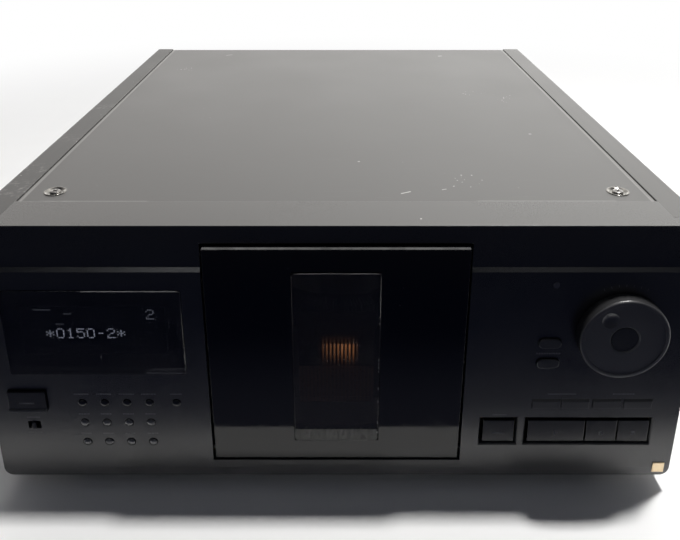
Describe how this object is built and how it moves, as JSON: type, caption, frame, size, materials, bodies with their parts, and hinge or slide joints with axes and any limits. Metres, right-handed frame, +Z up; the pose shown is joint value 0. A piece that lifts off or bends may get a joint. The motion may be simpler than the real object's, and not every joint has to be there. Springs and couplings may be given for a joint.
{
  "type": "compact disc changer",
  "caption": "Wide front-loading disc changer: drop-down smoked door, display, keys and jog dial, turning disc carousel and playing mechanism inside a flat-topped case.",
  "frame": {"origin": "middle of the footprint, on the surface that the feet stand on", "axes": "+X to the right of someone facing the front, +Y from the front panel to the rear, +Z up"},
  "size_m": [0.43, 0.487, 0.19],
  "materials": {
    "case_paint": "satin black paint",
    "front_plastic": "satin moulded, dark",
    "door_gloss": "polished black",
    "smoked_window": "smoked clear plastic",
    "key_plastic": "satin moulded, dark",
    "dial_plastic": "satin, bright edge",
    "lamp_amber": "amber, ribbed",
    "display_glass": "tube glass",
    "circuit_board": "solder mask",
    "carousel_plastic": "moulded",
    "mechanism_plastic": "moulded",
    "plated_steel": "zinc plated",
    "bright_steel": "bright",
    "foot_plastic": "moulded",
    "core_steel": "varnished laminations",
    "socket_plastic": "moulded"
  },
  "bodies": {
    "case": {"base_chassis": "plated_steel", "left_side_panel": "case_paint", "right_side_panel": "case_paint", "top_plate": "case_paint", "rear_panel": "plated_steel", "feet": "foot_plastic", "top_screws": "bright_steel", "rear_screws": "bright_steel", "front_panel": "front_plastic", "display_window": "smoked_window", "display_tube": "display_glass", "sensor_window": "smoked_window", "front_circuit_board": "circuit_board", "carousel_bearing": "carousel_plastic", "carousel_motor": "plated_steel", "mechanism_frame": "plated_steel", "guide_rods": "bright_steel", "spindle_motor": "plated_steel", "power_transformer": "core_steel", "main_circuit_board": "circuit_board", "output_jacks": "socket_plastic", "ac_inlet": "socket_plastic"},
    "front_door": {"door_panel": "door_gloss", "door_window": "smoked_window", "window_lamp": "lamp_amber"},
    "carousel": {"carousel_tray": "carousel_plastic", "outer_disc_rack": "carousel_plastic", "inner_disc_rack": "carousel_plastic"},
    "drive_gear": {"drive_gear": "mechanism_plastic"},
    "jog_dial": {"jog_dial": "dial_plastic"},
    "enter_button": {"enter_button": "dial_plastic"},
    "turntable": {"turntable": "mechanism_plastic"},
    "pickup_sled": {"pickup_sled": "mechanism_plastic"},
    "clamp_arm": {"clamp_arm": "mechanism_plastic"},
    "loading_arm": {"loading_arm": "mechanism_plastic"},
    "small_key_1": {"small_key_1": "key_plastic"},
    "small_key_2": {"small_key_2": "key_plastic"},
    "small_key_3": {"small_key_3": "key_plastic"},
    "small_key_4": {"small_key_4": "key_plastic"},
    "small_key_5": {"small_key_5": "key_plastic"},
    "small_key_6": {"small_key_6": "key_plastic"},
    "small_key_7": {"small_key_7": "key_plastic"},
    "small_key_8": {"small_key_8": "key_plastic"},
    "small_key_9": {"small_key_9": "key_plastic"},
    "small_key_10": {"small_key_10": "key_plastic"},
    "small_key_11": {"small_key_11": "key_plastic"},
    "small_key_12": {"small_key_12": "key_plastic"},
    "small_key_13": {"small_key_13": "key_plastic"},
    "upper_oval_key": {"upper_oval_key": "key_plastic"},
    "lower_oval_key": {"lower_oval_key": "key_plastic"},
    "skip_back_key": {"skip_back_key": "key_plastic"},
    "skip_forward_key": {"skip_forward_key": "key_plastic"},
    "scan_back_key": {"scan_back_key": "key_plastic"},
    "scan_forward_key": {"scan_forward_key": "key_plastic"},
    "open_button": {"open_button": "key_plastic"},
    "play_button": {"play_button": "key_plastic"},
    "pause_button": {"pause_button": "key_plastic"},
    "stop_button": {"stop_button": "key_plastic"},
    "power_button": {"power_button": "key_plastic"},
    "timer_switch": {"timer_switch": "key_plastic"}
  },
  "joints": [
    {"name": "door_hinge", "type": "hinge", "parent": "case", "child": "front_door", "pos_m": [0, -0.232, 0.0333], "axis": [1, 0, 0], "range_deg": [0, 80]},
    {"name": "carousel_spin", "type": "hinge", "parent": "case", "child": "carousel", "pos_m": [0, -0.0205, 0.03], "axis": [0, 0, 1], "continuous": true},
    {"name": "drive_gear_spin", "type": "hinge", "parent": "case", "child": "drive_gear", "pos_m": [-0.12389, 0.15644, 0.0315], "axis": [0, 0, 1], "continuous": true},
    {"name": "dial_spin", "type": "hinge", "parent": "case", "child": "jog_dial", "pos_m": [0.1698, -0.2345, 0.1205], "axis": [0, 1, 0], "continuous": true},
    {"name": "enter_press", "type": "slide", "parent": "case", "child": "enter_button", "axis": [0, 1, 0], "range_m": [0, 0.001], "stiffness_N_per_m": 500, "springref_m": -0.0006},
    {"name": "turntable_spin", "type": "hinge", "parent": "case", "child": "turntable", "pos_m": [0, -0.0205, 0.117], "axis": [1, 0, 0], "continuous": true},
    {"name": "sled_slide", "type": "slide", "parent": "case", "child": "pickup_sled", "axis": [0, 0, -1], "range_m": [0, 0.034]},
    {"name": "clamp_swing", "type": "hinge", "parent": "case", "child": "clamp_arm", "pos_m": [0.0085, -0.0205, 0.0545], "axis": [0, 1, 0], "range_deg": [0, 10]},
    {"name": "loading_swing", "type": "hinge", "parent": "case", "child": "loading_arm", "pos_m": [-0.003, -0.0485, 0.0645], "axis": [1, 0, 0], "range_deg": [0, 80]},
    {"name": "small_key_1_press", "type": "slide", "parent": "case", "child": "small_key_1", "axis": [0, 1, 0], "range_m": [0, 0.001], "stiffness_N_per_m": 500, "springref_m": -0.0006},
    {"name": "small_key_2_press", "type": "slide", "parent": "case", "child": "small_key_2", "axis": [0, 1, 0], "range_m": [0, 0.001], "stiffness_N_per_m": 500, "springref_m": -0.0006},
    {"name": "small_key_3_press", "type": "slide", "parent": "case", "child": "small_key_3", "axis": [0, 1, 0], "range_m": [0, 0.001], "stiffness_N_per_m": 500, "springref_m": -0.0006},
    {"name": "small_key_4_press", "type": "slide", "parent": "case", "child": "small_key_4", "axis": [0, 1, 0], "range_m": [0, 0.001], "stiffness_N_per_m": 500, "springref_m": -0.0006},
    {"name": "small_key_5_press", "type": "slide", "parent": "case", "child": "small_key_5", "axis": [0, 1, 0], "range_m": [0, 0.001], "stiffness_N_per_m": 500, "springref_m": -0.0006},
    {"name": "small_key_6_press", "type": "slide", "parent": "case", "child": "small_key_6", "axis": [0, 1, 0], "range_m": [0, 0.001], "stiffness_N_per_m": 500, "springref_m": -0.0006},
    {"name": "small_key_7_press", "type": "slide", "parent": "case", "child": "small_key_7", "axis": [0, 1, 0], "range_m": [0, 0.001], "stiffness_N_per_m": 500, "springref_m": -0.0006},
    {"name": "small_key_8_press", "type": "slide", "parent": "case", "child": "small_key_8", "axis": [0, 1, 0], "range_m": [0, 0.001], "stiffness_N_per_m": 500, "springref_m": -0.0006},
    {"name": "small_key_9_press", "type": "slide", "parent": "case", "child": "small_key_9", "axis": [0, 1, 0], "range_m": [0, 0.001], "stiffness_N_per_m": 500, "springref_m": -0.0006},
    {"name": "small_key_10_press", "type": "slide", "parent": "case", "child": "small_key_10", "axis": [0, 1, 0], "range_m": [0, 0.001], "stiffness_N_per_m": 500, "springref_m": -0.0006},
    {"name": "small_key_11_press", "type": "slide", "parent": "case", "child": "small_key_11", "axis": [0, 1, 0], "range_m": [0, 0.001], "stiffness_N_per_m": 500, "springref_m": -0.0006},
    {"name": "small_key_12_press", "type": "slide", "parent": "case", "child": "small_key_12", "axis": [0, 1, 0], "range_m": [0, 0.001], "stiffness_N_per_m": 500, "springref_m": -0.0006},
    {"name": "small_key_13_press", "type": "slide", "parent": "case", "child": "small_key_13", "axis": [0, 1, 0], "range_m": [0, 0.001], "stiffness_N_per_m": 500, "springref_m": -0.0006},
    {"name": "upper_oval_key_press", "type": "slide", "parent": "case", "child": "upper_oval_key", "axis": [0, 1, 0], "range_m": [0, 0.001], "stiffness_N_per_m": 500, "springref_m": -0.0006},
    {"name": "lower_oval_key_press", "type": "slide", "parent": "case", "child": "lower_oval_key", "axis": [0, 1, 0], "range_m": [0, 0.001], "stiffness_N_per_m": 500, "springref_m": -0.0006},
    {"name": "skip_back_key_press", "type": "slide", "parent": "case", "child": "skip_back_key", "axis": [0, 1, 0], "range_m": [0, 0.001], "stiffness_N_per_m": 500, "springref_m": -0.0006},
    {"name": "skip_forward_key_press", "type": "slide", "parent": "case", "child": "skip_forward_key", "axis": [0, 1, 0], "range_m": [0, 0.001], "stiffness_N_per_m": 500, "springref_m": -0.0006},
    {"name": "scan_back_key_press", "type": "slide", "parent": "case", "child": "scan_back_key", "axis": [0, 1, 0], "range_m": [0, 0.001], "stiffness_N_per_m": 500, "springref_m": -0.0006},
    {"name": "scan_forward_key_press", "type": "slide", "parent": "case", "child": "scan_forward_key", "axis": [0, 1, 0], "range_m": [0, 0.001], "stiffness_N_per_m": 500, "springref_m": -0.0006},
    {"name": "open_button_press", "type": "slide", "parent": "case", "child": "open_button", "axis": [0, 1, 0], "range_m": [0, 0.001], "stiffness_N_per_m": 500, "springref_m": -0.0006},
    {"name": "play_button_press", "type": "slide", "parent": "case", "child": "play_button", "axis": [0, 1, 0], "range_m": [0, 0.001], "stiffness_N_per_m": 500, "springref_m": -0.0006},
    {"name": "pause_button_press", "type": "slide", "parent": "case", "child": "pause_button", "axis": [0, 1, 0], "range_m": [0, 0.001], "stiffness_N_per_m": 500, "springref_m": -0.0006},
    {"name": "stop_button_press", "type": "slide", "parent": "case", "child": "stop_button", "axis": [0, 1, 0], "range_m": [0, 0.001], "stiffness_N_per_m": 500, "springref_m": -0.0006},
    {"name": "power_button_press", "type": "slide", "parent": "case", "child": "power_button", "axis": [0, 1, 0], "range_m": [0, 0.002], "stiffness_N_per_m": 600, "springref_m": -0.001},
    {"name": "timer_slide", "type": "slide", "parent": "case", "child": "timer_switch", "axis": [1, 0, 0], "range_m": [-0.0022, 0.0022]}
  ],
  "couplings": [
    {"joint": "drive_gear_spin", "follows": "carousel_spin", "ratio": -11}
  ]
}
